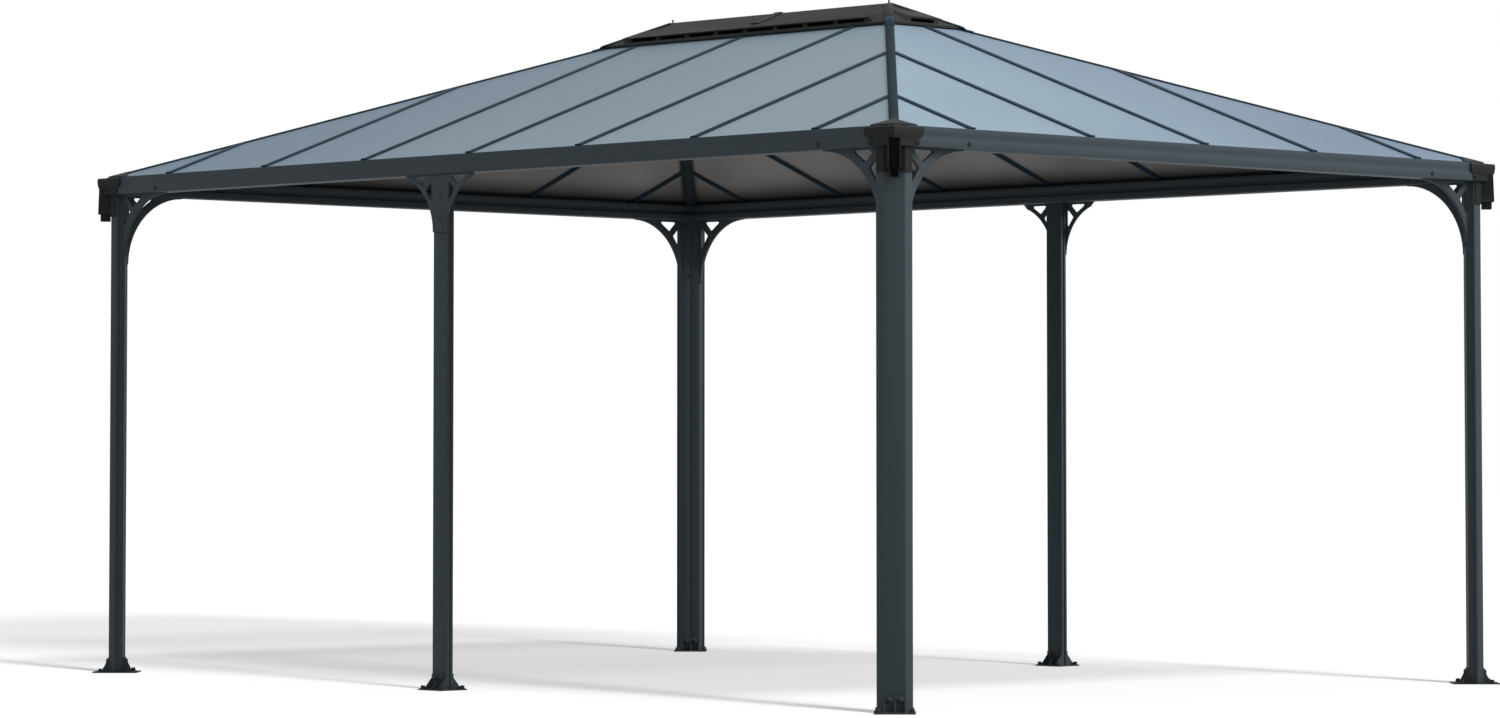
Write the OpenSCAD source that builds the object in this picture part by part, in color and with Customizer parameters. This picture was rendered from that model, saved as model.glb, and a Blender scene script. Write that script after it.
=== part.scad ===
// Metal garden gazebo with a hipped roof of twin-wall panels.
// Millimetres, +Z up, the long side along X, origin at the middle of the ground under the roof.
// Front is -Y, right is +X. The roof's four slopes share one pitch, so the hips run at 45 degrees in plan.

/* [Roof] */
// Length of the roof over the gutters
roof_l = 4950; // [4400:10:5600]
// Width of the roof over the gutters
roof_w = 3604; // [3000:10:3900]
// Pitch of all four roof slopes, in degrees
roof_pitch = 20.1; // [16:0.1:24]
// Thickness of the twin-wall roof panels
panel_t = 8; // [6:0.5:12]
// How far the panels' lower edge stays inside the gutter's outer face
panel_in = 40; // [36:1:50]

/* [Rafters] */
// Number of rafters on each side of the middle one, on a long slope
count_on_long = 3; // [2:1:3]
// Number of rafters on each side of the middle one, on a short slope
count_on_short = 2; // [1:1:2]
// Width of a rafter
rafter_w = 36; // [28:1:44]
// Depth of a rafter below the panels, with its rib
rafter_d = 13; // [11:0.5:16]
// Thickness of the glazing cap on a rafter or hip
cap_t = 5; // [3:0.5:7]
// Width of the web between two panels
web_w = 6; // [4:0.5:10]
// Width of a hip's glazing cap
hip_w = 38; // [30:1:46]
// Width of a hip's bar under the panels
hip_bar_w = 60; // [50:1:66]
// Width of the ridge beam
ridge_w = 100; // [80:1:130]
// Depth of the ridge beam
ridge_d = 50; // [40:1:70]

/* [Gutter beams] */
// Height of the beams' underside above the ground
beam_z = 2113; // [1900:1:2300]
// Height of the beam's outer face
beam_h = 77; // [70:1:80]
// Depth of the beam from outer to inner face
beam_d = 100; // [96:1:120]
// Wall of the open gutter
gutter_wall = 3; // [2:0.5:4]
// Width of the gutter's inside
gutter_w = 59; // [50:1:60]
// Height of the gutter's floor above the beam's underside
gutter_floor = 26; // [10:1:40]

/* [Posts] */
// Width of a corner post across the diagonal
post_w = 136; // [126:1:146]
// Depth of a corner post along the diagonal
post_d = 62; // [58:1:70]
// Width of a corner post's outer face
post_face = 81; // [70:1:90]
// Width of a corner post's inner profile
post_in_w = 110; // [100:1:118]
// Distance along the diagonal from the gutters' corner to the post's outer face
post_out = 58; // [56:1:64]
// Width of a middle post along the side
mid_w = 90; // [76:1:100]
// Depth of a middle post
mid_d = 33; // [28:1:40]
// Distance from the gutter's outer face to a middle post's outer face
mid_in = 14; // [10:1:20]
// Place along the side of the front middle post
mid_front_x = -148; // [-300:1:300]
// Place along the side of the back middle post
mid_back_x = 0; // [-300:1:300]

/* [Braces] */
// Size of a corner brace along the beam and down the post
brace_s = 306; // [280:1:340]
// Thickness of a corner brace
brace_t = 14; // [10:1:16]
// Width of a corner brace's curved rib
brace_rib = 36; // [30:1:40]
// Reach of a middle brace along the beam, from the side of its post
mid_brace_l = 173; // [160:1:190]
// Drop of a middle brace and its joining plate down the post
mid_brace_h = 238; // [225:1:260]
// Radius of a middle brace's curved edge
mid_arc_r = 230; // [220:1:240]
// Width of a middle brace's curved rib
mid_brace_rib = 22; // [18:1:26]
// Thickness of a middle brace and its joining plate
plate_t = 6; // [4:0.5:8]
// Width of a joining plate
plate_w = 60; // [50:1:70]

/* [Feet] */
// Thickness of the foot plates
foot_t = 5; // [3:0.5:8]
// Length of a corner foot along the diagonal
foot_l = 194; // [188:1:220]
// Width of a corner foot
foot_w = 155; // [150:1:170]
// Distance of a corner foot's holes from its middle, both ways
foot_hole = 64; // [60:1:66]
// Size of a middle foot's square plate
mid_foot = 142; // [138:1:160]
// Distance of a middle foot's holes from its middle, both ways
mid_hole = 57; // [55:1:60]
// Diameter of the ground anchor holes
hole_d = 10; // [6:0.5:12]
// Height of the feet's upright flanges
flange_h = 62; // [50:1:80]

/* [Corner covers] */
// Reach of a corner cover's band along each gutter
cover_l = 153; // [145:1:175]
// Height of the band
cover_h = 48; // [40:1:50]
// Wall of a corner cover
cover_t = 4; // [3:0.5:5]
// Height of the sleeve below the band
sleeve_h = 126; // [110:1:150]
// How far the band bulges from the gutter's outer face
cover_bulge = 7.5; // [6:0.5:9]
// Length of the sloped lid along each gutter
lid_l = 131; // [115:1:135]
// Width of the downspout box
spout_w = 52; // [44:1:56]
// Height of the downspout box below the band
spout_h = 115; // [100:1:124]
// Length of the spigot below the downspout box
spigot_h = 31; // [20:1:50]

/* [Ridge vent] */
// Reach of the vent's base on each side of the ridge
vent_base = 225; // [215:1:250]
// Height of the vent cap's ridge above the ridge of the panels
vent_peak = 46; // [42:1:60]
// Thickness of the vent's base
vent_t = 5; // [3:0.5:7]
// Thickness of the vent's cap, measured upright
vent_shell = 10; // [8:0.5:14]
// Number of slots along each long side
vent_slots = 8; // [4:1:10]

/* [Hidden] */
$fn = 64;

// Extra length of every cut beyond the face it cuts
over = 5;
// Clearance between pieces that seat on each other
seat = 0.2;
// Room beside a web for the panel's edge
panel_gap = 2;
// Room between a bar's end and the hip or ridge it meets
end_gap = 0.3;

// Plan of the roof
half_l = roof_l / 2;
half_w = roof_w / 2;
ridge_l = roof_l - roof_w;
bay = ridge_l / 2;
rise = tan(roof_pitch);
root2 = sqrt(2);
hip_pitch = atan(rise / root2);

// Beam section: the outer lip, the drip groove band and the recess on the inner face
lip_w = 10;
lip_t = 4;
band_low = 31;
band_high = 52;
band_slant = 5;
band_depth = 1.8;
rail_w = 4;
ledge_w = 14;
inner_drop = 1;
recess_low = 28;
recess_high = 49;
recess_depth = 16;
// The panels' underside passes this far below the lip at the outer face
eave_drop = 19;
eave_z = beam_h - eave_drop;
rail_in = gutter_wall + gutter_w;
rail_out = rail_in + rail_w;
ledge_out = rail_out + ledge_w;
bar_drop = rafter_d / cos(roof_pitch);
inner_h = eave_z + ledge_out * rise - bar_drop - inner_drop;

// Ribs under the flat bars of the rafters and hips
rafter_rib_w = 14;
rafter_rib_d = 8;
hip_rib_w = 26;
hip_rib_d = 7;

// Corner post section, from the outer face inward
post_chamfer = (post_w - post_face) / 2;
post_side = 6.5;
post_groove = 7;
post_groove_d = 8;
post_in_chamfer = 12;
post_seam_w = 4;
post_seam_d = 3;
post_in_face = post_in_w - 2 * post_in_chamfer;
post_h = beam_z - foot_t;
post_mid = post_out + post_d / 2;
// Where a corner post's brace faces lie, from the outer faces of the gutters
brace_e = (post_out + post_d + post_in_face / 2) / root2;
brace_m = (post_out + post_d - post_in_chamfer / 2 - (post_in_w - post_in_chamfer) / 2) / root2;
mid_m = mid_in + mid_d / 2;
mid_groove_w = 9;
mid_groove_d = 5;

// Brace details: the thin ends, the straight flanges, the slanting strut and the holes' rounded corners
brace_edge = 5;
brace_flange = 9;
brace_strut = 28;
brace_tip = 18;
brace_round = 5;
round_steps = 4;

// Foot details
flange_t = 4;
gusset_t = 4;
gusset_h_share = 0.75;
gusset_in = 8;

// Corner cover details: the block in the corner, the lid over the hip's end, the downspout and the ears
cover_gap = 6;
cover_r = 25;
// The band's outline as shares of its bulge and its height
band_shares = [
    [0, 0.06], [0.5, 0.06], [0.86, 0.11], [1, 0.2], [1, 0.5], [0.8, 0.74], [0.55, 0.92], [0.4, 1], [0, 1]
];
corner_cut = post_out + cover_t;
lid_in = 27;
lid_t = 5;
lid_over = 1.5;
lid_step = 4.5;
lid_blunt = 5;
lid_z = beam_z + eave_z + (panel_t + seat + cap_t) / cos(roof_pitch) + lid_over;
spout_out = 1;
spout_flare = 4;
rib_w = 7;
rib_d = 24;
bell_h = 22;
bell_w = 8;
spigot_from = 7;
spigot_l = 40;
spigot_w = 38;
spigot_wall = 5;
apron_l = 106;
apron_t = 3;
ear_at = 120;
ear_r = 16;
ear_drop = 61.5;

// Ridge vent details
vent_lap = 6;
vent_lip = 3;
slot_inset = 1.5;
vent_cap = vent_base - vent_lap;
vent_seat = (panel_t + seat + cap_t) / cos(roof_pitch) + seat;
vent_rise = vent_peak + vent_cap * rise - vent_seat - vent_t - seat;
// Louvre boxes on the long sides and mouths at the ends: reach, upright wall, and the slots in it
louvre_reach_share = 0.93;
louvre_h = 31;
louvre_over = 80;
louvre_t = 6;
louvre_low = 9;
louvre_slot_h = 17;
louvre_depth = 3;
slot_w_share = 0.86;
mouth_w = 180;
mouth_h = 34;
mouth_slot_w = 150;
mouth_reach_share = 0.9;
// The vent's opening and the strips on its cap's hips, as shares of the cap's reach
opening_share = 0.55;
strip_share = 0.73;
strip_w = 36;
seam_w = 44;
seam_reach_share = 0.7;
seam_reach_z = vent_rise - (vent_rise - louvre_h) * seam_reach_share;
seam_t = 3;
pin_d = 7;
pin_h = 14;
ridge_z = beam_z + eave_z + half_w * rise;
wall_z = ridge_z - vent_cap * rise + vent_seat + vent_t + seat;

frame_colour = "#38424a";
plastic_colour = "#2e2c2b";
panel_colour = "#8fa3b3";
foot_colour = "#2b2f33";

// Puts a child made at the front left corner, its outer gutter corner at the origin, on any corner
module at_corner(side_x, side_y) {
    mirror([side_x > 0 ? 1 : 0, 0, 0])
        mirror([0, side_y > 0 ? 1 : 0, 0])
            translate([-half_l, -half_w, 0]) children();
}

// Puts a child made on the front side, centred along it, on any side: 0 front, 1 right, 2 back, 3 left
module at_side(turn) {
    rotate([0, 0, 90 * turn])
        translate([0, turn % 2 == 0 ? -half_w : -half_l, 0]) children();
}

function side_length(turn) = turn % 2 == 0 ? roof_l : roof_w;
function side_ridge(turn) = turn % 2 == 0 ? ridge_l : 0;
function side_rafters(turn) = turn % 2 == 0 ? count_on_long : count_on_short;

// Section of a corner post, the diagonal along X, its outer face at 0
module corner_post_section() {
    side_end = post_chamfer + post_side;
    groove_end = side_end + post_groove;
    difference() {
        polygon([
            [0, -post_face / 2], [0, post_face / 2],
            [post_chamfer, post_w / 2], [side_end, post_w / 2],
            [side_end, post_w / 2 - post_groove_d], [groove_end, post_w / 2 - post_groove_d],
            [groove_end, post_in_w / 2], [post_d - post_in_chamfer, post_in_w / 2],
            [post_d, post_in_face / 2], [post_d, -post_in_face / 2],
            [post_d - post_in_chamfer, -post_in_w / 2], [groove_end, -post_in_w / 2],
            [groove_end, -post_w / 2 + post_groove_d], [side_end, -post_w / 2 + post_groove_d],
            [side_end, -post_w / 2], [post_chamfer, -post_w / 2]
        ]);
        translate([post_d - post_seam_d, -post_seam_w / 2]) square([post_seam_d + over, post_seam_w]);
    }
}

module corner_post() {
    color(frame_colour) translate([0, 0, foot_t]) linear_extrude(post_h)
        rotate(45) translate([post_out, 0]) corner_post_section();
}

// Section of a middle post, its outer face at y = 0
module mid_post_section() {
    difference() {
        translate([-mid_w / 2, 0]) square([mid_w, mid_d]);
        for (end = [-1, 1])
            translate([end * (mid_w - mid_groove_d + over) / 2, mid_d / 2])
                square([mid_groove_d + over, mid_groove_w], center = true);
    }
}

module mid_post(place) {
    color(frame_colour) translate([place, mid_in, foot_t]) linear_extrude(post_h) mid_post_section();
}

// Plate that joins a middle post to the beam, on the post's outer face
module joining_plate(place) {
    color(frame_colour) translate([place - plate_w / 2, mid_in - plate_t, beam_z - mid_brace_h])
        cube([plate_w, plate_t, mid_brace_h]);
}

// One upright flange with three gussets, standing on a plate, its back at x = 0 and reaching along +X
module upright(width, reach) {
    translate([0, -width / 2, foot_t]) cube([flange_t, width, flange_h]);
    for (place = [-1, 0, 1])
        translate([flange_t, place * (width - gusset_t) / 2 + gusset_t / 2, foot_t]) rotate([90, 0, 0])
            linear_extrude(gusset_t)
                polygon([[0, 0], [reach - flange_t - gusset_in, 0], [0, flange_h * gusset_h_share]]);
}

// A foot: plate with four holes and an upright on two faces of the post, its middle at the origin
module foot(length, width, hole, post_depth, face_in, face_out) {
    color(foot_colour) {
        difference() {
            translate([-length / 2, -width / 2, 0]) cube([length, width, foot_t]);
            for (x = [-hole, hole], y = [-hole, hole])
                translate([x, y, -over]) cylinder(d = hole_d, h = foot_t + 2 * over);
        }
        translate([post_depth / 2, 0, 0]) upright(face_in, (length - post_depth) / 2);
        rotate([0, 0, 180]) translate([post_depth / 2, 0, 0]) upright(face_out, (length - post_depth) / 2);
    }
}

module corner_foot() {
    rotate([0, 0, 45]) translate([post_mid, 0, 0])
        foot(foot_l, foot_w, foot_hole, post_d, post_in_face, post_face);
}

module mid_foot_part(place) {
    translate([place, mid_m, 0]) rotate([0, 0, 90])
        foot(mid_foot, mid_foot, mid_hole, mid_d, mid_w, mid_w);
}

// Section of a gutter beam, outer face at x = 0, underside at y = 0
module beam_section() {
    polygon([
        [0, 0], [beam_d, 0],
        [beam_d, recess_low], [beam_d - recess_depth, recess_low],
        [beam_d - recess_depth, recess_high], [beam_d, recess_high],
        [beam_d, inner_h], [ledge_out, inner_h],
        [ledge_out, eave_z + ledge_out * rise - bar_drop], [rail_out, eave_z + rail_out * rise - bar_drop],
        [rail_out, eave_z + rail_out * rise], [rail_in, eave_z + rail_in * rise],
        [rail_in, gutter_floor], [gutter_wall, gutter_floor],
        [gutter_wall, beam_h - lip_t], [lip_w, beam_h - lip_t],
        [lip_w, beam_h], [0, beam_h],
        [0, band_high], [band_depth, band_high - band_slant],
        [band_depth, band_low + band_slant], [0, band_low]
    ]);
}

// A gutter beam, mitred at both ends and cut back at the corners for the corner covers
module gutter(turn) {
    length = side_length(turn);
    color(frame_colour) at_side(turn) translate([0, 0, beam_z]) intersection() {
        translate([-length / 2, 0, 0]) rotate([90, 0, 90]) linear_extrude(length) beam_section();
        translate([0, 0, -over]) linear_extrude(beam_h + beam_d + over) polygon([
            [-length / 2 + corner_cut * root2, 0], [length / 2 - corner_cut * root2, 0],
            [length / 2 - corner_cut / root2, corner_cut / root2], [length / 2 - beam_d, beam_d],
            [-length / 2 + beam_d, beam_d], [-length / 2 + corner_cut / root2, corner_cut / root2]
        ]);
    }
}

// Corners of a brace's hole above its strut: the rib's inner edge has radius outer_r about [x, -y]
function upper_hole(x, y, outer_r, off) =
    let (u = (x + y + off - sqrt(2 * outer_r * outer_r - pow(x - y - off, 2))) / 2)
    [
        [brace_flange + off, -brace_flange], [u, off - u],
        [x - sqrt(outer_r * outer_r - pow(y - brace_flange, 2)), -brace_flange]
    ];

// Corners of a brace's hole below its strut
function lower_hole(x, y, outer_r, off) =
    let (u = (x + y - off - sqrt(2 * outer_r * outer_r - pow(x - y + off, 2))) / 2)
    [
        [brace_flange, -brace_flange - off],
        [brace_flange, sqrt(outer_r * outer_r - pow(x - brace_flange, 2)) - y],
        [u, -off - u]
    ];

// A triangle's outline with its three corners rounded, the corners given anticlockwise
function rounded(corners, radius) =
    let (
        a = norm(corners[1] - corners[2]),
        b = norm(corners[2] - corners[0]),
        c = norm(corners[0] - corners[1]),
        middle = (a * corners[0] + b * corners[1] + c * corners[2]) / (a + b + c),
        inner_r = abs(cross(corners[1] - corners[0], corners[2] - corners[0])) / (a + b + c)
    )
    [
        for (i = [0 : 2])
            let (
                before = corners[i] - corners[(i + 2) % 3],
                after = corners[(i + 1) % 3] - corners[i],
                centre = corners[i] + (middle - corners[i]) * radius / inner_r,
                from = atan2(before[1], before[0]) - 90,
                turn = (atan2(after[1], after[0]) - 90 - from + 720) % 360
            )
            for (k = [0 : round_steps])
                centre + radius * [cos(from + turn * k / round_steps), sin(from + turn * k / round_steps)]
    ];

// Side view of a brace, its inner corner at the origin, the beam along +X and the post down -Y
module brace_outline(reach, drop, edge, arc_r, rib, lap) {
    x = edge + arc_r;
    off = brace_strut / root2;
    difference() {
        polygon([
            [-lap, 0], [reach, 0], [reach - brace_tip, -brace_tip], [reach - brace_tip, -drop], [-lap, -drop]
        ]);
        translate([x, -drop]) circle(r = arc_r);
        polygon(rounded(upper_hole(x, drop, arc_r + rib, off), brace_round));
        polygon(rounded(lower_hole(x, drop, arc_r + rib, off), brace_round));
    }
}

// Both braces of a corner
module corner_braces() {
    color(frame_colour) for (end = [0, 1])
        mirror([end, -end, 0]) translate([brace_e, brace_m + brace_t / 2, beam_z]) rotate([90, 0, 0])
            linear_extrude(brace_t)
                brace_outline(brace_s, brace_s, brace_edge, brace_s - brace_edge, brace_rib, 0);
}

// Both braces of a middle post, lying on its outer face beside the joining plate
module mid_braces(place) {
    lap = (mid_w - plate_w) / 2;
    color(frame_colour) for (end = [0, 1])
        translate([place, mid_in, beam_z]) mirror([end, 0, 0]) translate([mid_w / 2, 0, 0]) rotate([90, 0, 0])
            linear_extrude(plate_t) brace_outline(mid_brace_l, mid_brace_h, 0, mid_arc_r, mid_brace_rib, lap);
}

// Plan of the sleeve on a corner post's outer face, the diagonal along X
module sleeve_section() {
    lean = cover_t * tan(45 / 2);
    for (end = [0, 1]) mirror([0, end]) polygon([
        [post_out - cover_t, 0], [post_out - cover_t, post_face / 2 + lean],
        [post_out + post_chamfer - cover_t * root2, post_w / 2], [post_out + post_chamfer, post_w / 2],
        [post_out, post_face / 2], [post_out, 0]
    ]);
}

// All that lies below two roof planes at a corner, which pass the gutters' outer faces at the given height
module under_planes(level) {
    far = 2 * cover_l;
    intersection() {
        translate([0, 0, level]) rotate([roof_pitch, 0, 0])
            translate([-far, -far, -far]) cube([2 * far, 2 * far, far]);
        translate([0, 0, level]) rotate([0, -roof_pitch, 0])
            translate([-far, -far, -far]) cube([2 * far, 2 * far, far]);
    }
}

// Sloped lid of a corner cover over the end of the hip
module corner_lid() {
    short = lid_in + lid_l - lid_blunt;
    difference() {
        intersection() {
            translate([0, 0, beam_z]) linear_extrude(cover_l) polygon([
                [lid_in, lid_in], [short, lid_in], [short, lid_in + lid_blunt],
                [lid_in + lid_blunt, short], [lid_in, short]
            ]);
            under_planes(lid_z);
        }
        under_planes(lid_z - lid_t);
    }
}

// Bulging band of a corner cover on one gutter, mitred at the corner and rounded at its lower end
module cover_band() {
    top = beam_z + beam_h;
    difference() {
        intersection() {
            translate([-cover_bulge, 0, top]) rotate([90, 0, 90]) linear_extrude(cover_l + cover_bulge)
                polygon([for (s = band_shares) [-s[0] * cover_bulge, -s[1] * cover_h]]);
            translate([0, 0, top - cover_h]) linear_extrude(cover_h) polygon([
                [-cover_bulge, -cover_bulge], [cover_l, -cover_bulge], [cover_l, 0], [0, 0]
            ]);
        }
        translate([cover_l - cover_r, over, top - cover_h + cover_r]) rotate([90, 0, 0])
            linear_extrude(cover_bulge + 2 * over) difference() {
                translate([0, -cover_r - over]) square([cover_r + over, cover_r + over]);
                circle(r = cover_r);
            }
    }
}

// Apron of a corner cover below its band, on one gutter's outer face, with a round ear for its screw
module cover_apron() {
    ear_z = beam_z + beam_h - ear_drop;
    translate([0, 0, beam_z]) linear_extrude(beam_h - cover_h) polygon([
        [-apron_t, -apron_t], [apron_l, -apron_t], [apron_l, 0], [0, 0]
    ]);
    translate([ear_at, 0, ear_z]) rotate([90, 0, 0]) cylinder(r = ear_r, h = apron_t);
}

// One side wall of the downspout, leaning out towards its foot and flared into a bell there
module spout_wall(top) {
    deep = post_out - cover_t - spout_out;
    translate([0, spout_w / 2, top]) rotate([90, 0, 0]) linear_extrude(rib_w) polygon([
        [spout_out + rib_d, 0], [spout_out, 0],
        [spout_out - spout_flare, -spout_h], [spout_out + rib_d, -spout_h]
    ]);
    translate([spout_out, 0, top - spout_h]) rotate([90, 0, 90]) linear_extrude(deep) polygon([
        [spout_w / 2 - rib_w, 0], [spout_w / 2 + bell_w, 0],
        [spout_w / 2 + bell_w / 4, bell_h / 2], [spout_w / 2, bell_h], [spout_w / 2 - rib_w, bell_h]
    ]);
}

// Black corner cover: band, apron, lid over the hip's end, sleeve on the post, open downspout and spigot
module corner_cover() {
    band_z = beam_z + beam_h - cover_h;
    sleeve_z = band_z - sleeve_h;
    block = corner_cut * root2 - cover_gap;
    color(plastic_colour) difference() {
        union() {
            intersection() {
                translate([0, 0, band_z]) linear_extrude(cover_l) polygon([[0, 0], [block, 0], [0, block]]);
                under_planes(lid_z - lid_step);
            }
            corner_lid();
            for (end = [0, 1]) mirror([end, -end, 0]) cover_band();
            translate([0, 0, sleeve_z]) linear_extrude(beam_z - sleeve_z) rotate(45) sleeve_section();
            translate([0, 0, sleeve_z]) linear_extrude(sleeve_h) rotate(45)
                translate([post_out - cover_t, -post_face / 2]) square([cover_t, post_face]);
            translate([0, 0, band_z - spout_h]) linear_extrude(spout_h) rotate(45)
                translate([spout_out + rib_d, -spout_w / 2])
                    square([post_out - cover_t - spout_out - rib_d, spout_w]);
            for (end = [0, 1]) rotate([0, 0, 45]) mirror([0, end, 0]) spout_wall(band_z);
            translate([0, 0, band_z - spout_h - spigot_h]) linear_extrude(spigot_h) rotate(45)
                translate([spigot_from, -spigot_w / 2]) square([spigot_l, spigot_w]);
            for (end = [0, 1]) mirror([end, -end, 0]) cover_apron();
        }
        translate([0, 0, band_z - spout_h - spigot_h - over]) linear_extrude(spigot_h + over) rotate(45)
            translate([spigot_from - over, -spigot_w / 2 + spigot_wall])
                square([spigot_l - spigot_wall + over, spigot_w - 2 * spigot_wall]);
    }
}

// Section of a hip rafter, square to its run, the panels' underside meeting at the origin
module hip_bar_section() {
    fall = rise / root2 * cos(hip_pitch);
    depth = bar_drop * cos(hip_pitch);
    bar = hip_bar_w / 2;
    polygon([
        [-bar, -fall * bar], [-web_w / 2, -fall * web_w / 2], [-web_w / 2, panel_t / 2],
        [web_w / 2, panel_t / 2], [web_w / 2, -fall * web_w / 2], [bar, -fall * bar],
        [bar, -fall * bar - depth], [0, -depth], [-bar, -fall * bar - depth]
    ]);
}

// Section of the rib under a hip rafter, reaching up into its bar
module hip_rib_section() {
    fall = rise / root2 * cos(hip_pitch);
    depth = bar_drop * cos(hip_pitch);
    low = -fall * hip_rib_w / 2 - depth - hip_rib_d;
    translate([-hip_rib_w / 2, low]) square([hip_rib_w, -low - depth / 2]);
}

module hip_cap_section() {
    fall = rise / root2 * cos(hip_pitch);
    top = panel_t / cos(roof_pitch) * cos(hip_pitch) + seat;
    polygon([
        [-hip_w / 2, top - fall * hip_w / 2], [-web_w / 2, top - fall * web_w / 2], [-web_w / 2, 0],
        [web_w / 2, 0], [web_w / 2, top - fall * web_w / 2], [hip_w / 2, top - fall * hip_w / 2],
        [hip_w / 2, top - fall * hip_w / 2 + cap_t], [0, top + cap_t],
        [-hip_w / 2, top - fall * hip_w / 2 + cap_t]
    ]);
}

// Lays a section along a hip between two distances from the corner, in plan
module along_hip(start, end) {
    rotate([0, 0, 45]) translate([start, 0, beam_z + eave_z + start / root2 * rise])
        rotate([0, -hip_pitch, 0]) rotate([90, 0, 90])
            linear_extrude((end - start) / cos(hip_pitch)) children();
}

module hip() {
    dip = (bar_drop + hip_rib_w / 2 * rise + hip_rib_d) * sin(hip_pitch);
    lean = (panel_t + seat + cap_t) * sin(hip_pitch);
    top_end = half_w * root2 - ridge_w / root2 - dip;
    color(frame_colour) {
        along_hip(rail_out * root2 + hip_bar_w / 2 + seat, top_end) hip_bar_section();
        along_hip(beam_d * root2 + hip_rib_w / 2 + seat, top_end) hip_rib_section();
        along_hip((2 * lid_in + lid_l) / root2 + lean + end_gap, top_end) hip_cap_section();
    }
}

// Plan of one slope laid flat: eave at y = 0, held off the hips and the ridge, for a layer from low to high
module slope_outline(turn, low, hip_off, start) {
    length = side_length(turn);
    slip = -low * sin(roof_pitch) + hip_off * root2;
    top_m = half_w - ridge_w / 2 - end_gap + min(low, 0) * sin(roof_pitch);
    foot_v = start / cos(roof_pitch);
    top_v = top_m / cos(roof_pitch);
    polygon([
        [-length / 2 + start + slip, foot_v], [length / 2 - start - slip, foot_v],
        [max(length / 2 - top_m - slip, 0), top_v], [min(-length / 2 + top_m + slip, 0), top_v]
    ]);
}

// Lays a flat slope on the roof, its eave line at the gutter's outer face
module on_slope(turn, level) {
    at_side(turn) translate([0, 0, beam_z + eave_z]) rotate([roof_pitch, 0, 0])
        translate([0, 0, level]) children();
}

// One layer of a rafter between two levels, measured square to the slope from the panels' underside
module rafter_layer(turn, place, low, high, width, hip_off, start) {
    on_slope(turn, low) linear_extrude(high - low) intersection() {
        slope_outline(turn, low, hip_off + end_gap, start);
        translate([place - width / 2, 0]) square([width, roof_w]);
    }
}

// All rafters of a slope, each a flat bar with a rib below, a web between the panels and a glazing cap
module rafters(turn) {
    count = side_rafters(turn);
    flat = rafter_rib_d - rafter_d;
    top = panel_t + seat;
    color(frame_colour) for (i = [-count : count]) {
        rafter_layer(turn, i * bay, -rafter_d, flat, rafter_rib_w, hip_bar_w / 2, rail_out + seat);
        rafter_layer(turn, i * bay, flat, 0, rafter_w, hip_bar_w / 2, rail_out + seat);
        rafter_layer(turn, i * bay, 0, top, web_w, hip_w / 2, panel_in);
        rafter_layer(turn, i * bay, top, top + cap_t, rafter_w, hip_w / 2, panel_in);
    }
}

// All panels of a slope, one between each two webs, the end ones running out on the hips
module panels(turn) {
    count = side_rafters(turn);
    edge = web_w / 2 + panel_gap;
    far = side_length(turn);
    color(panel_colour) for (i = [-count - 1 : count]) {
        from = i == -count - 1 ? -far : i * bay + edge;
        to = i == count ? far : (i + 1) * bay - edge;
        on_slope(turn, 0) linear_extrude(panel_t) intersection() {
            slope_outline(turn, 0, edge, panel_in);
            translate([from, 0]) square([to - from, roof_w]);
        }
    }
}

// Ridge beam under the vent
module ridge_beam() {
    color(frame_colour) translate([-ridge_l / 2 - ridge_w / 2, -ridge_w / 2, ridge_z - ridge_d - bar_drop])
        cube([ridge_l + ridge_w, ridge_w, ridge_d]);
}

// Solid with a hipped top: eaves at z = 0 reaching out from the ridge line, ridge at the given height,
// with an upright skirt below the eaves
module hipped_block(reach, height, skirt) {
    x = ridge_l / 2 + reach;
    polyhedron(
        points = [
            [-x, -reach, -skirt], [x, -reach, -skirt], [x, reach, -skirt], [-x, reach, -skirt],
            [-x, -reach, 0], [x, -reach, 0], [x, reach, 0], [-x, reach, 0],
            [-ridge_l / 2, 0, height], [ridge_l / 2, 0, height]
        ],
        faces = [
            [0, 1, 2, 3], [0, 4, 5, 1], [1, 5, 6, 2], [2, 6, 7, 3], [3, 7, 4, 0],
            [4, 8, 9, 5], [5, 9, 6], [6, 9, 8, 7], [7, 8, 4]
        ]
    );
}

// A hole with straight long sides and round ends, centred
module long_hole(length, height) {
    square([length - height, height], center = true);
    for (end = [-1, 1]) translate([end * (length - height) / 2, 0]) circle(d = height);
}

// Upright bars along the vent's four hips, between two reaches from the ridge's ends
module hip_bars(start, end, width) {
    for (x = [-1, 1], y = [-1, 1])
        translate([x * ridge_l / 2, 0, -vent_rise]) rotate([0, 0, atan2(y, x)])
            translate([start * root2, -width / 2, 0]) cube([(end - start) * root2, width, 3 * vent_rise]);
}

// Flat frame of the vent on the roof, open over the ridge
module vent_base_frame() {
    opening = opening_share * vent_cap;
    color(plastic_colour) translate([0, 0, ridge_z + vent_seat - vent_base * rise]) difference() {
        translate([0, 0, vent_t]) hipped_block(vent_base, vent_base * rise, vent_t + over / 2);
        translate([0, 0, -over * rise]) hipped_block(vent_base + over, (vent_base + over) * rise, over);
        translate([-ridge_l / 2 - opening, -opening, -over])
            cube([ridge_l + 2 * opening, 2 * opening, vent_base * rise + vent_t + 2 * over]);
    }
}

// Side view of a louvre box or a mouth: a roof falling both ways from the ridge to an upright wall
module louvre_outline(reach, wall, inset) {
    polygon([
        [-reach + inset, -over], [-reach + inset, wall - inset], [0, vent_rise - inset],
        [reach - inset, wall - inset], [reach - inset, -over]
    ]);
}

// Louvre boxes along both long sides, one body through the ridge
module louvres(inset) {
    length = ridge_l + 2 * louvre_over - 2 * inset;
    translate([-length / 2, 0, 0]) rotate([90, 0, 90]) linear_extrude(length)
        louvre_outline(louvre_reach_share * vent_cap, louvre_h, inset);
}

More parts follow.
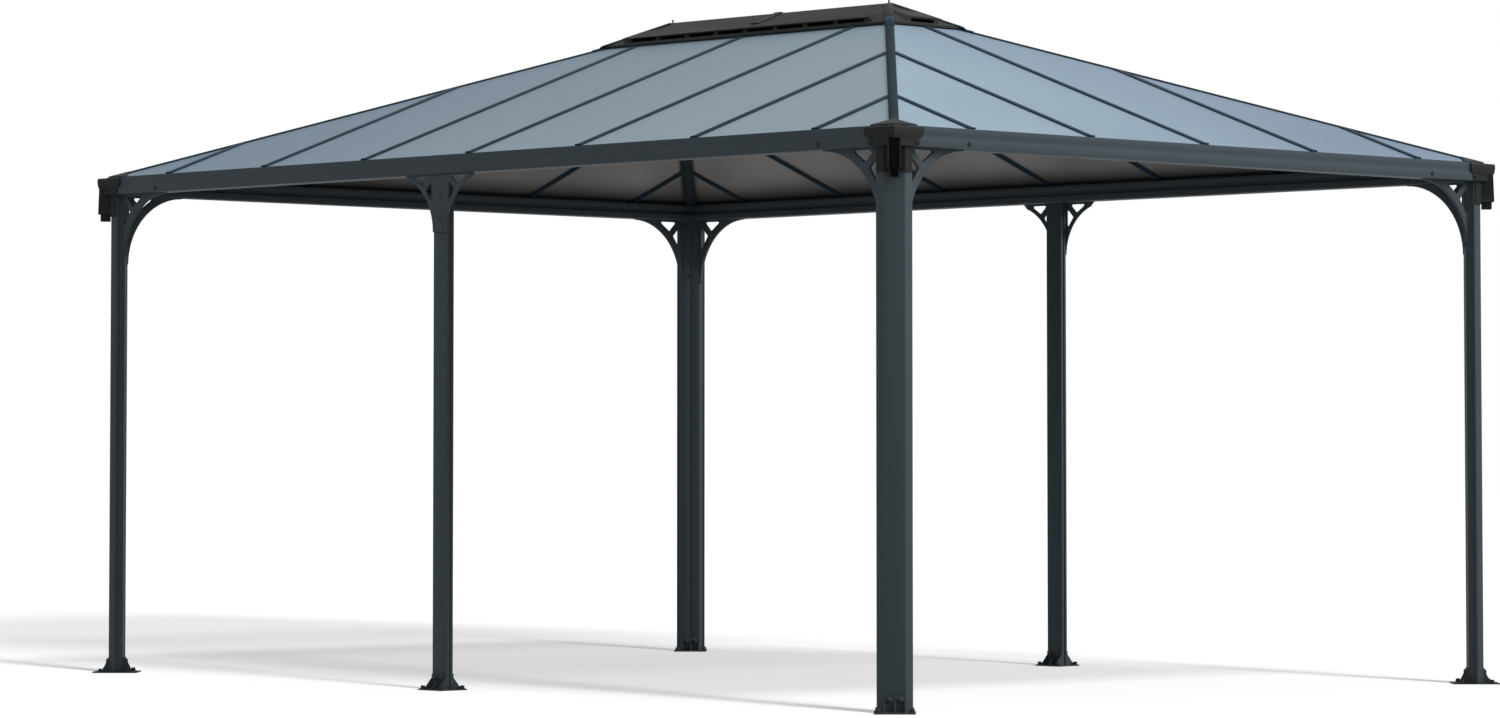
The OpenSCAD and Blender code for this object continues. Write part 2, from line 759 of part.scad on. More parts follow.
// Mouths at both ends, each roofed from its end of the ridge
module mouths(inset) {
    width = mouth_w - 2 * inset;
    reach = mouth_reach_share * vent_cap;
    for (end = [-1, 1])
        translate([end * ridge_l / 2, width / 2, 0]) rotate([90, 0, 0]) linear_extrude(width)
            louvre_outline(reach, mouth_h, inset);
}

// Raised cap of the vent: hipped shell with slotted louvre boxes along its sides and a mouth at each end,
// strips on its hips, a lap seam across the middle and a pin at each ridge end
module ridge_cap() {
    slots_l = ridge_l + 2 * louvre_over - 2 * louvre_slot_h;
    pitch = slots_l / vent_slots;
    slot_z = louvre_low + louvre_slot_h / 2;
    louvre_reach = louvre_reach_share * vent_cap;
    floor_reach = vent_base + over;
    floor_z = vent_cap * rise - floor_reach * rise;
    cap_rise = vent_rise - vent_lip;
    deep = 2 * vent_base;
    long = ridge_l + 2 * deep;
    color(plastic_colour) translate([0, 0, wall_z]) {
        difference() {
            union() {
                translate([0, 0, vent_lip]) hipped_block(vent_cap, cap_rise, vent_lip + over / 2);
                louvres(0);
                mouths(0);
                intersection() {
                    translate([0, 0, vent_lip + seam_t]) hipped_block(vent_cap, cap_rise, vent_lip);
                    hip_bars(0, strip_share * vent_cap, strip_w);
                }
                translate([-seam_w / 2, 0, seam_t]) rotate([90, 0, 90]) linear_extrude(seam_w)
                    louvre_outline(seam_reach_share * louvre_reach, seam_reach_z, 0);
            }
            translate([0, 0, vent_lip - vent_shell]) hipped_block(vent_cap, cap_rise, over);
            louvres(louvre_t);
            mouths(louvre_t);
            translate([0, 0, floor_z]) hipped_block(floor_reach, floor_reach * rise, over);
            for (end = [0, 1]) mirror([0, end, 0])
                translate([0, -louvre_reach + louvre_depth, slot_z]) rotate([90, 0, 0])
                    linear_extrude(over) long_hole(slots_l + louvre_slot_h, louvre_slot_h);
            for (i = [0 : vent_slots - 1])
                translate([(i - vent_slots / 2 + 1 / 2) * pitch, deep / 2, slot_z]) rotate([90, 0, 0])
                    linear_extrude(deep)
                        square([slot_w_share * pitch, louvre_slot_h - 2 * slot_inset], center = true);
            translate([-long / 2, 0, slot_z]) rotate([90, 0, 90])
                linear_extrude(long) long_hole(mouth_slot_w, louvre_slot_h);
        }
        for (end = [-1, 1])
            translate([end * ridge_l / 2, 0, vent_rise - vent_shell / 2])
                cylinder(d = pin_d, h = vent_shell / 2 + pin_h);
    }
}

at_corner(-1, -1) corner_foot();  // foot_front_left
at_side(0) mid_foot_part(mid_front_x);  // foot_front_mid
at_corner(1, -1) corner_foot();  // foot_front_right
at_corner(-1, 1) corner_foot();  // foot_back_left
at_side(2) mid_foot_part(-mid_back_x);  // foot_back_mid
at_corner(1, 1) corner_foot();  // foot_back_right
at_corner(-1, -1) corner_post();  // post_front_left
at_side(0) mid_post(mid_front_x);  // post_front_mid
at_corner(1, -1) corner_post();  // post_front_right
at_corner(-1, 1) corner_post();  // post_back_left
at_side(2) mid_post(-mid_back_x);  // post_back_mid
at_corner(1, 1) corner_post();  // post_back_right
at_side(0) joining_plate(mid_front_x);  // joining_plate_front
at_side(2) joining_plate(-mid_back_x);  // joining_plate_back
gutter(0);  // gutter_front
gutter(1);  // gutter_right
gutter(2);  // gutter_back
gutter(3);  // gutter_left
at_corner(-1, -1) corner_braces();  // braces_front_left
at_side(0) mid_braces(mid_front_x);  // braces_front_mid
at_corner(1, -1) corner_braces();  // braces_front_right
at_corner(-1, 1) corner_braces();  // braces_back_left
at_side(2) mid_braces(-mid_back_x);  // braces_back_mid
at_corner(1, 1) corner_braces();  // braces_back_right
at_corner(-1, -1) corner_cover();  // corner_cover_front_left
at_corner(1, -1) corner_cover();  // corner_cover_front_right
at_corner(-1, 1) corner_cover();  // corner_cover_back_left
at_corner(1, 1) corner_cover();  // corner_cover_back_right
at_corner(-1, -1) hip();  // hip_front_left
at_corner(1, -1) hip();  // hip_front_right
at_corner(-1, 1) hip();  // hip_back_left
at_corner(1, 1) hip();  // hip_back_right
rafters(0);  // rafters_front
rafters(1);  // rafters_right
rafters(2);  // rafters_back
rafters(3);  // rafters_left
panels(0);  // panels_front
panels(1);  // panels_right
panels(2);  // panels_back
panels(3);  // panels_left
ridge_beam();
vent_base_frame();
ridge_cap();
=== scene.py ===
import math

import bpy
from mathutils import Matrix, Vector


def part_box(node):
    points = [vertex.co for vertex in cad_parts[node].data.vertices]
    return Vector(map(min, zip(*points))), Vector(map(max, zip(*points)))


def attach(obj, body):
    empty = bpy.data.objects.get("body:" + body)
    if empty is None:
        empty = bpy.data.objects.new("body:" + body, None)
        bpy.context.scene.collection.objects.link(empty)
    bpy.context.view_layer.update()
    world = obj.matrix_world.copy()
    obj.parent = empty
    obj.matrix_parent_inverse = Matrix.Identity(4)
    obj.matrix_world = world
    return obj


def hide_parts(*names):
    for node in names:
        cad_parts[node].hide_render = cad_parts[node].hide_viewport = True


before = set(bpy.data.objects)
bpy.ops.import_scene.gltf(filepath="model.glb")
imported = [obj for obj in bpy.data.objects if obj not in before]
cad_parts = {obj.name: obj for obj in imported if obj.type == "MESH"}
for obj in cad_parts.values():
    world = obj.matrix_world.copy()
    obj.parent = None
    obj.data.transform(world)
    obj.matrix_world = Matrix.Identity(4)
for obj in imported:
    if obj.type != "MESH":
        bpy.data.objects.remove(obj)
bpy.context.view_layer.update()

# Picture frame and camera, fitted to the photograph
IMAGE_W = 1500
IMAGE_H = 718
CAMERA_PLACE = (15.3619, -14.9084, 0.9562)
CAMERA_TURN = (92.699, 0.0, 46.3104)
FOCAL_PIXELS = 4945.821
CENTRE_PIXEL = (739.571, 222.776)
SENSOR_MM = 36.0
FAR_CLIP = 300.0

# Light: level, turn, height and softness of the gazebo's lamp and of the lamps for the floor's shadow
SKY_LEVEL = 0.55
KEY_LAMP = (2.7, 38.0, 36.0, 38.0)
FLOOR_LAMPS = ((2.7, -15.0, 55.0, 13.0), (1.7, -15.0, 31.0, 9.0), (7.2, -14.0, 18.0, 7.0))

# Floor: the tone that is seen, the tone that lights the gazebo, its own light and its faint clouds
FLOOR_SIZE = 160.0
FLOOR_TONE = 0.3
FLOOR_BOUNCE = 0.19
FLOOR_LIFT = 0.36
FLOOR_CLOUD = 0.4
FLOOR_CLOUD_SHARE = 0.01
BLACK = (0.0, 0.0, 0.0, 1.0)
WHITE = (1.0, 1.0, 1.0, 1.0)

# Sizes of the gazebo, in metres, read from the frame
HALF_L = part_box("gutter_right")[1].x
HALF_W = -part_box("gutter_front")[0].y
BEAM_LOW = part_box("gutter_front")[0].z
FOOT_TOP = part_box("post_front_left")[0].z
VENT_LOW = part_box("ridge_cap")[0].z
VENT_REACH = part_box("ridge_cap")[1].y

# Sizes that the frame doesn't give by itself, and the rafters on each side of a slope's middle one
BEAM_HEIGHT = 0.077
EAVE_HEIGHT = 0.058
PITCH = math.radians(20.1)
RIDGE_HALF = HALF_L - HALF_W
BAY = RIDGE_HALF
RAFTERS_LONG = 3
RAFTERS_SHORT = 2

# Directions and corners
ROOT2 = math.sqrt(2.0)
QUARTER = math.pi / 2
UP = Vector((0, 0, 1))
ABOUT = Matrix.Rotation(math.pi, 4, "Z")
AT_RIDGE_END = Matrix.Translation((RIDGE_HALF, 0, 0)) @ Matrix.Rotation(QUARTER, 4, "Z")
CORNERS = {"front_left": (-1, -1), "front_right": (1, -1), "back_left": (-1, 1), "back_right": (1, 1)}
MIDDLES = {"front_mid": -1, "back_mid": 1}

# Modelling limits, and the roundings of edges: the trim's is a share of its thickness
MERGE = 0.00002
FLAT_ANGLE = math.radians(1.0)
EDGE_ANGLE = math.radians(36.0)
SMOOTH_ANGLE = math.radians(42.0)
FACING = 0.9
ROUND_STEPS = 2
FRAME_ROUND = 0.0012
BAR_ROUND = 0.0008
SMALL_ROUND = 0.0009
TRIM_ROUND = 0.3

# Ridge vent's cap: heights over its lower edge, reaches from the ridge
PIN_HEIGHT = 0.014
PIN_SUNK = 0.005
PIN_RADIUS = 0.0035
PIN_SIDES = 16
PIN_CHAMFER = 0.25 * PIN_RADIUS
RIDGE_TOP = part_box("ridge_cap")[1].z - PIN_HEIGHT
VENT_RISE = RIDGE_TOP - VENT_LOW
VENT_LIP = 0.003
CAP_SLOPE = (VENT_RISE - VENT_LIP) / VENT_REACH
VENT_FOLD = 0.06
FOLD_GAP = 0.0002
FOLD_Z = VENT_RISE - VENT_FOLD * CAP_SLOPE - FOLD_GAP
BOX_LOW = 0.0072
BOX_BACK = 0.066
BOX_LEAN = 0.03
LOUVRE_REACH = 0.93 * VENT_REACH
LOUVRE_WALL = 0.031
LOUVRE_OVER = 0.08
LOUVRE_HALF = RIDGE_HALF + LOUVRE_OVER
MOUTH_REACH = 0.9 * VENT_REACH
MOUTH_WALL = 0.034
MOUTH_HALF = 0.0825
MOUTH_SLOT = 0.069
SLOT_LOW = 0.0102
SLOT_HEIGHT = 0.0155
SLOT_ROUND = 0.45 * SLOT_HEIGHT
SLOT_ROUND_STEPS = 4
SLOT_DEEP = 0.07
SLOT_COUNT = 8
SLOT_SHARE = 0.86
RECESS = 0.003
HIP_INSET = 0.0015
SEAM_HALF = 0.022
SEAM_RISE = 0.0055
SEAM_REACH = 0.7 * LOUVRE_REACH
STRIP_HALF = 0.018
STRIP_END = 0.73 * VENT_REACH
STRIP_FROM = 0.012

# Straps over the vent's hips: reach from the ridge's end and height of the underside along the way
STRAP_PATH = ((0.1612, 2.80041), (0.2186, 2.77335), (0.2262, 2.76790), (0.2318, 2.75980), (0.254, 2.75168))
STRAP_GAP = 0.0008
STRAP_HALF = 0.0205
STRAP_FOLD = 0.0062
STRAP_THICK = 0.0026

# Corner feet's gussets, outwards from the post's middle
GUSSET_LOW = 0.062
GUSSET_HIGH = 0.0362
GUSSET_TOP = 0.056
GUSSET_GAP = 0.0004
GUSSET_FAR = 0.13
GUSSET_WIDE = 0.1

# Downspouts' hollow: heights over the floor, and reaches along the diagonal from the gutters' corner
SPOUT_TOP = 2.142
SPOUT_HEIGHT = 0.115
SPOUT_LOW = SPOUT_TOP - SPOUT_HEIGHT
HOLLOW_OUT = 0.052
HOLLOW_IN = 0.025
HOLLOW_HALF = 0.019
SPIGOT_HALF = 0.014

# Clips at the rafters' lower ends, and the caps and sheets that they sit on
STOP_WIDTH = 0.038
STOP_LENGTH = 0.008
STOP_WALL = 0.002
STOP_DROP = 0.008
STOP_GAP = 0.0004
CAP_TOP = 0.0132
SHEET_BACK = 0.04
SHEET_EDGE = SHEET_BACK / math.cos(PITCH)

# Fasteners: places from the gutters' corners, the posts' middles and the beams' underside
POST_MIDDLE = 0.089
POST_HALF_D = 0.031
FLANGE = 0.004
FOOT_HOLE = 0.064
MID_HOLE = 0.057
FLANGE_BOLT_ACROSS = 0.021
FLANGE_BOLT_Z = 0.051
POST_BOLT_ACROSS = 0.0226
POST_BOLT_DROP = 0.036
POST_BOLT_LOW = 0.268
MID_BOLT_DROPS = (0.078, 0.183)
PLATE_BOLT_DROPS = (0.087, 0.186)
PLATE = 0.006
MID_HALF_D = 0.0165
EAR_AT = 0.12
EAR_OUT = 0.003
EAR_DROP = 0.0615
EAR_Z = BEAM_LOW + BEAM_HEIGHT - EAR_DROP
GUTTER_BOLT_AT = 0.405
GUTTER_BOLT_DROP = 0.057
GUTTER_BOLT_Z = BEAM_LOW + BEAM_HEIGHT - GUTTER_BOLT_DROP

# Fasteners: radius and height of the heads, then radius and thickness of the washer
GROUND_SCREW = (0.0095, 0.0095, 0.0135, 0.0025)
FOOT_BOLT = (0.0105, 0.0105)
FRAME_BOLT = (0.0095, 0.0052)
COVER_SCREW = (0.0092, 0.0042)

# Fasteners: sides, and steps inwards and up as shares of the radius and the height
WASHER_SIDES = 20
WASHER_INSET = 0.4
WASHER_RISE = 0.25
HEX_SIDES = 6
HEX_STEPS = ((0.14, 0.16), (0.3, -0.06))
SCREW_SIDES = 18
SCREW_RIM = 0.4
SCREW_STEPS = ((0.12, 0.28), (0.2, 0.22), (0.28, 0.1))
SCREW_KEY = 0.55

# Powder paint: scales of its patterns, their shares in the tone and in the roughness
PAINT_SHINE = 0.05
PAINT_CLOUD = 1.7
PAINT_SPECK = 420.0
PAINT_STREAK = (36.0, 36.0, 1.1)
PAINT_PEEL = 260.0
PEEL_STRENGTH = 0.12
PEEL_DEPTH = 0.0006
CLOUD_SHARE = 0.5
SPECK_SHARE = 0.22
STREAK_SHARE = 0.28
DUST_SHARE = 0.4
ROUGH_CLOUD = 0.1
ROUGH_STREAK = 0.1
ROUGH_DUST = 0.12

# Paints: dark, light and dusty screen colours, roughness and shine
PAINTS = {
    "anthracite_paint": ((60, 70, 75), (71, 81, 86), (78, 87, 91), 0.45, PAINT_SHINE),
    "gutter_paint": ((61, 70, 76), (72, 81, 87), (79, 87, 92), 0.45, PAINT_SHINE),
    "glazing_bar_paint": ((32, 50, 62), (40, 58, 71), (44, 58, 67), 0.5, PAINT_SHINE),
    "hip_paint": ((49, 57, 62), (58, 67, 72), (60, 69, 74), 0.6, 0.0),
    "foot_paint": ((52, 58, 63), (63, 69, 74), (76, 80, 82), 0.5, PAINT_SHINE),
    "bolt_paint": ((40, 46, 51), (54, 60, 65), (70, 74, 78), 0.4, PAINT_SHINE),
}

# Moulded plastic: scales of its patterns, where the sun bleaches it and a sheen is painted, and the painted
# shade in the downspouts
PLASTIC_SHINE = 0.07
PLASTIC_CLOUD = 9.0
PLASTIC_GRAIN = 520.0
GRAIN_STRENGTH = 0.2
GRAIN_DEPTH = 0.0005
# Sun bleaching and a painted sheen on what faces up
BLEACH_SHEEN_SPAN = (0.2, 0.75)
BLEACH_SHEEN_LEVEL = 0.8
BLEACH_SHEEN_CLOUD = 0.3
PLASTIC_ROUGH = 0.5
PLASTIC_ROUGH_CLOUD = 0.2
PLASTIC_ROUGH_BLEACH = 0.1
# Painted shade in the downspouts' hollows: its colour, its share and the softness of its edges
HOLLOW_SHADE = (9, 9, 9)
HOLLOW_SHADE_SHARE = 0.9
HOLLOW_SHADE_STEP = 0.001
HOLLOW_SHADE_EDGE = (0.0002, 0.0011)
HOLLOW_SHADE_FADE = 0.006

# Plastics: dark, light and bleached screen colours, the last with a painted sheen, and whether painted shade
# sits in the downspouts
PLASTICS = {
    "cover_plastic": ((34, 35, 35), (43, 44, 44), (51, 52, 52), True),
    "vent_plastic": ((35, 36, 36), (43, 44, 44), (51, 53, 52), False),
}

# Roof sheet: scales and shares of its patterns, and heights over the floor where its underside's painted
# shade turns to grey
SHEET_SHINE = 0.05
SHEET_CLOUD = 0.8
SHEET_MOTTLE = 5.0
SHEET_SMUDGE = 1.3
SMUDGE_SPAN = (0.35, 0.7)
DRIFT_CLOUD = 0.5
DRIFT_MOTTLE = 0.12
DRIFT_RIBS = 0.05
SMOKE_SMUDGE = 0.6
SMOKE_RIBS = 0.15
SHEET_ROUGH = 0.38
SHEET_ROUGH_CLOUD = 0.12
RIB_PITCH = 0.0107
RIB_STRENGTH = 0.06
RIB_DEPTH = 0.0004
# Painted shade: the underside is near black up to the first height and grey from the second
UNDER_BLACK = 2.165
UNDER_GREY = 2.285
UNDER_EAVE_SHADE = (16, 16, 18)
UNDER_DARK = (114, 112, 110)
UNDER_LIGHT = (150, 147, 145)

# Sheets: the axis along the eave, how far it runs, and the screen colours at its two ends, between which
# runs a painted light gradient
SHEETS = {
    "sheet_long_slopes": (0, HALF_L, (104, 124, 142), (133, 152, 162)),
    "sheet_short_slopes": (1, HALF_W, (139, 161, 174), (110, 129, 149)),
}

# Detail of the noise patterns
PLAIN = 1.0
SOFT = 2.0
FINE = 3.0


def to_linear(screen):
    """A screen colour, 0 to 255, as the linear colour that a socket takes."""
    linear = []
    for level in screen:
        share = level / 255
        linear.append(share / 12.92 if share <= 0.04045 else ((share + 0.055) / 1.055) ** 2.4)
    return (*linear, 1.0)


class Wire:
    """One output socket of a material. Sums and products of wires add Math nodes."""

    def __init__(self, tree, socket=None):
        self.tree = tree
        self.socket = socket

    def node(self, kind, settings=None, sockets=None, out=0):
        """Adds a node: its settings first, then the values or wires of its sockets."""
        made = self.tree.nodes.new("ShaderNode" + kind)
        for name, value in (settings or {}).items():
            setattr(made, name, value)
        for name, value in (sockets or {}).items():
            if isinstance(value, Wire):
                self.tree.links.new(value.socket, made.inputs[name])
            else:
                made.inputs[name].default_value = value
        return Wire(self.tree, made.outputs[out])

    def calc(self, operation, *values):
        return self.node("Math", {"operation": operation}, dict(enumerate(values)))

    def __add__(self, other):
        return self.calc("ADD", self, other)

    def __radd__(self, other):
        return self.calc("ADD", other, self)

    def __sub__(self, other):
        return self.calc("SUBTRACT", self, other)

    def __rsub__(self, other):
        return self.calc("SUBTRACT", other, self)

    def __mul__(self, other):
        return self.calc("MULTIPLY", self, other)

    def __rmul__(self, other):
        return self.calc("MULTIPLY", other, self)

    def blend(self, low, high):
        """A colour between low and high, by this wire's value."""
        return self.node("Mix", {"data_type": "RGBA"}, {0: self, 6: low, 7: high}, 2)

    def spread(self, low, high):
        """This wire's value from low to high, as zero to one with soft ends."""
        return self.node("MapRange", {"interpolation_type": "SMOOTHSTEP"},
                         {"Value": self, "From Min": low, "From Max": high})

    def axis(self, index):
        return self.node("SeparateXYZ", None, {0: self}, index)

    def scaled(self, factors):
        return self.node("VectorMath", {"operation": "MULTIPLY"}, {0: self, 1: factors})


def new_finish(name):
    """An empty material: its wire maker, its shader and its Object coordinates."""
    material = bpy.data.materials.new(name)
    material.use_nodes = True
    tree = material.node_tree
    maker = Wire(tree)
    place = maker.node("TexCoord", None, None, "Object")
    return material, maker, tree.nodes["Principled BSDF"], place


def feed(maker, shader, **wires):
    """Links wires, or sets plain numbers, on the shader's named sockets."""
    for name, value in wires.items():
        socket = shader.inputs[name.replace("_", " ")]
        if isinstance(value, Wire):
            maker.tree.links.new(value.socket, socket)
        else:
            socket.default_value = value


def noise(maker, place, scale, detail=SOFT):
    return maker.node("TexNoise", None, {"Vector": place, "Scale": scale, "Detail": detail})


def bump(maker, height, strength, distance):
    return maker.node("Bump", None, {"Strength": strength, "Distance": distance, "Height": height})


def facing_up(maker):
    """How far a surface faces up, from minus one to one."""
    return maker.node("NewGeometry", None, None, "Normal").axis(2)


def powder_coat(name, dark, light, dust, gloss, shine):
    """Baked powder paint: cloudy tone, rain streaks, orange peel, and dust on what faces up."""
    material, maker, shader, place = new_finish(name)
    cloud = noise(maker, place, PAINT_CLOUD, FINE)
    speck = noise(maker, place, PAINT_SPECK)
    streak = noise(maker, place.scaled(PAINT_STREAK), 1.0, FINE)
    mix = CLOUD_SHARE * cloud + SPECK_SHARE * speck + STREAK_SHARE * streak
    tone = mix.blend(to_linear(dark), to_linear(light))
    settled = maker.calc("MAXIMUM", facing_up(maker), 0.0) * cloud
    peel = noise(maker, place, PAINT_PEEL, PLAIN)
    feed(maker, shader, Base_Color=(DUST_SHARE * settled).blend(tone, to_linear(dust)),
         Roughness=gloss + ROUGH_CLOUD * cloud + ROUGH_STREAK * streak + ROUGH_DUST * settled,
         Normal=bump(maker, peel, PEEL_STRENGTH, PEEL_DEPTH), Specular_IOR_Level=shine)
    return material


def spout_shade(maker, place):
    """One inside the downspouts' hollows and spigots, where shade is painted, and none outside."""
    out_x = HALF_L - maker.calc("ABSOLUTE", place.axis(0))
    out_y = HALF_W - maker.calc("ABSOLUTE", place.axis(1))
    across = maker.calc("ABSOLUTE", out_x - out_y) * (1 / ROOT2)
    height = place.axis(2)
    low = height.spread(SPOUT_LOW - HOLLOW_SHADE_STEP, SPOUT_LOW + HOLLOW_SHADE_STEP)
    half = SPIGOT_HALF + (HOLLOW_HALF - SPIGOT_HALF) * low
    inside = 1.0 - (across - half).spread(*HOLLOW_SHADE_EDGE)
    return inside * (1.0 - height.spread(SPOUT_TOP - HOLLOW_SHADE_FADE, SPOUT_TOP - HOLLOW_SHADE_STEP))


def moulded_plastic(name, dark, light, faded_and_sheen, shaded_hollow):
    """Grained black plastic: fine leather grain, flow clouds, and tops lighter from sun bleaching and a
    painted sheen.
    """
    material, maker, shader, place = new_finish(name)
    cloud = noise(maker, place, PLASTIC_CLOUD, FINE)
    grain = maker.node("TexVoronoi", None, {"Vector": place, "Scale": PLASTIC_GRAIN})
    # Partly painted light: what faces up is lighter, for sun bleaching and for a painted sheen
    bleach_and_sheen = facing_up(maker).spread(*BLEACH_SHEEN_SPAN) * (BLEACH_SHEEN_LEVEL + BLEACH_SHEEN_CLOUD * cloud)
    tone = bleach_and_sheen.blend(cloud.blend(to_linear(dark), to_linear(light)), to_linear(faded_and_sheen))
    if shaded_hollow:
        # Painted shade: the downspouts' hollows darken almost to black
        tone = (HOLLOW_SHADE_SHARE * spout_shade(maker, place)).blend(tone, to_linear(HOLLOW_SHADE))
    feed(maker, shader, Base_Color=tone,
         Roughness=PLASTIC_ROUGH + PLASTIC_ROUGH_CLOUD * cloud + PLASTIC_ROUGH_BLEACH * bleach_and_sheen,
         Normal=bump(maker, grain, GRAIN_STRENGTH, GRAIN_DEPTH), Specular_IOR_Level=PLASTIC_SHINE)
    return material


def twin_wall(name, along, reach, first, last):
    """Twin-wall roof sheet: blue-grey above with a painted light gradient along the eave, smoke grey below
    with painted shade darker to the eaves, and faint ribs.
    """
    material, maker, shader, place = new_finish(name)
    ribs = 0.5 + 0.5 * maker.calc("SINE", place.axis(along) * (2 * math.pi / RIB_PITCH))
    cloud = noise(maker, place, SHEET_CLOUD)
    mottle = noise(maker, place, SHEET_MOTTLE, FINE)
    uneven = DRIFT_CLOUD * (cloud - 0.5) + DRIFT_MOTTLE * (mottle - 0.5) + DRIFT_RIBS * ribs
    # Painted light: the top's tone sweeps from one end colour to the other along the eave, with random
    # clouds in it
    painted_light_sweep = place.axis(along).spread(-reach, reach) + uneven
    top = painted_light_sweep.blend(to_linear(first), to_linear(last))
    above = maker.calc("GREATER_THAN", facing_up(maker), 0.0)
    # Painted shade: the underside darkens towards the eaves, by height
    lift = place.axis(2).spread(UNDER_BLACK, UNDER_GREY)
    smudge = noise(maker, place, SHEET_SMUDGE).spread(*SMUDGE_SPAN)
    smoke = (SMOKE_SMUDGE * smudge + SMOKE_RIBS * ribs).blend(to_linear(UNDER_DARK), to_linear(UNDER_LIGHT))
    under_with_painted_shade = lift.blend(to_linear(UNDER_EAVE_SHADE), smoke)
    feed(maker, shader, Base_Color=above.blend(under_with_painted_shade, top),
         Roughness=SHEET_ROUGH + SHEET_ROUGH_CLOUD * cloud,
         Normal=bump(maker, ribs, RIB_STRENGTH, RIB_DEPTH), Specular_IOR_Level=SHEET_SHINE)
    return material


def seen_rays(maker):
    """One for rays from the camera, a mirror or through glass, and none for the rest."""
    camera_ray = maker.node("LightPath", None, None, "Is Camera Ray")
    mirror_ray = maker.node("LightPath", None, None, "Is Glossy Ray")
    through_ray = maker.node("LightPath", None, None, "Is Transmission Ray")
    return maker.calc("MINIMUM", camera_ray + mirror_ray + through_ray, 1.0)


def backdrop():
    """White surroundings for what is seen, softer for what is lit."""
    world = bpy.data.worlds.new("surroundings")
    world.use_nodes = True
    maker = Wire(world.node_tree)
    background = world.node_tree.nodes["Background"]
    level = SKY_LEVEL + (1.0 - SKY_LEVEL) * seen_rays(maker)
    world.node_tree.links.new(level.socket, background.inputs["Strength"])
    background.inputs["Color"].default_value = WHITE
    bpy.context.scene.world = world


def ground():
    """Pale floor that keeps the shadow and throws little light back."""
    clear_selection()
    bpy.ops.mesh.primitive_plane_add(size=FLOOR_SIZE, location=(0.0, 0.0, 0.0))
    floor = bpy.context.object
    floor.name = "floor"
    material, maker, shader, place = new_finish("pale_floor")
    seen = seen_rays(maker)
    cloud = noise(maker, place, FLOOR_CLOUD)
    level = FLOOR_BOUNCE + (FLOOR_TONE - FLOOR_BOUNCE) * seen + FLOOR_CLOUD_SHARE * cloud
    lift = seen.blend(BLACK, (FLOOR_LIFT,) * 3 + (1.0,))
    feed(maker, shader, Base_Color=level.blend(BLACK, WHITE), Roughness=1.0, Specular_IOR_Level=0.0,
         Emission_Color=lift, Emission_Strength=1.0)
    floor.data.materials.append(material)
    return floor


def lamp(name, level, turn, height, softness):
    """A broad lamp far away, standing at a turn from the right side and a height over the floor."""
    light = bpy.data.lights.new(name, "SUN")
    light.energy = level
    light.angle = math.radians(softness)
    holder = bpy.data.objects.new(name, light)
    holder.rotation_euler = (math.radians(90 - height), 0.0, math.radians(90 + turn))
    bpy.context.scene.collection.objects.link(holder)
    return holder


def light_only(holder, floor, state):
    """Lets a lamp light only the floor, or all but the floor."""
    group = bpy.data.collections.new(holder.name + "_lights")
    group.objects.link(floor)
    holder.light_linking.receiver_collection = group
    group.collection_objects[0].light_linking.link_state = state


def camera():
    """The camera of the photograph, with its picture's middle shifted as there."""
    lens = bpy.data.cameras.new("camera")
    lens.sensor_fit = "HORIZONTAL"
    lens.sensor_width = SENSOR_MM
    lens.lens = FOCAL_PIXELS * SENSOR_MM / IMAGE_W
    lens.shift_x = (IMAGE_W / 2 - CENTRE_PIXEL[0]) / IMAGE_W
    lens.shift_y = (CENTRE_PIXEL[1] - IMAGE_H / 2) / IMAGE_W
    lens.clip_end = FAR_CLIP
    holder = bpy.data.objects.new("camera", lens)
    holder.location = CAMERA_PLACE
    holder.rotation_euler = [math.radians(angle) for angle in CAMERA_TURN]
    bpy.context.scene.collection.objects.link(holder)
    bpy.context.scene.camera = holder


def clear_selection():
    bpy.ops.object.select_all(action="DESELECT")


def take(piece):
    """Makes a piece the only selected one."""
    clear_selection()
    piece.select_set(True)
    bpy.context.view_layer.objects.active = piece


def edit_all():
    """Opens the active piece for editing with all of it selected."""
    bpy.ops.object.mode_set(mode="EDIT")
    bpy.ops.mesh.select_all(action="SELECT")


def end_edit():
    bpy.ops.object.mode_set(mode="OBJECT")


def pick_faces(piece, test):
    """Opens a piece for editing with only the faces that pass a test selected."""
    if piece.mode == "EDIT":
        end_edit()
    bpy.context.tool_settings.mesh_select_mode = (False, False, True)
    for item in (*piece.data.vertices, *piece.data.edges):
        item.select = False
    for face in piece.data.polygons:
        face.select = test(face)
    bpy.ops.object.mode_set(mode="EDIT")


def pick_points(piece, test):
    """Opens a piece for editing with only the points that pass a test selected."""
    if piece.mode == "EDIT":
        end_edit()
    bpy.context.tool_settings.mesh_select_mode = (True, False, False)
    for item in (*piece.data.edges, *piece.data.polygons):
        item.select = False
    for point in piece.data.vertices:
        point.select = test(point)
    bpy.ops.object.mode_set(mode="EDIT")


def top_face(face):
    return face.normal.z > FACING


def inset(thickness, rise):
    bpy.ops.mesh.inset(thickness=thickness)
    bpy.ops.transform.translate(value=(0.0, 0.0, rise))


def extrude(step):
    """Pulls the selected faces out by a step, with new walls round them."""
    bpy.ops.mesh.extrude_region_move(TRANSFORM_OT_translate={"value": step})


def rounded_edges(piece, width):
    """Rounds a piece's sharp edges and smooths its shading."""
    take(piece)
    edge = piece.modifiers.new("rounding", "BEVEL")
    edge.width = width
    edge.segments = ROUND_STEPS
    edge.limit_method = "ANGLE"
    edge.angle_limit = EDGE_ANGLE
    bpy.ops.object.modifier_apply(modifier=edge.name)
    bpy.ops.object.shade_smooth_by_angle(angle=SMOOTH_ANGLE)


def dressed(piece, name, material):
    """Names a finished piece, gives it its finish and lets it ride on the gazebo."""
    piece.name = name
    piece.data.name = name
    piece.data.materials.clear()
    piece.data.materials.append(material)
    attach(piece, "root")


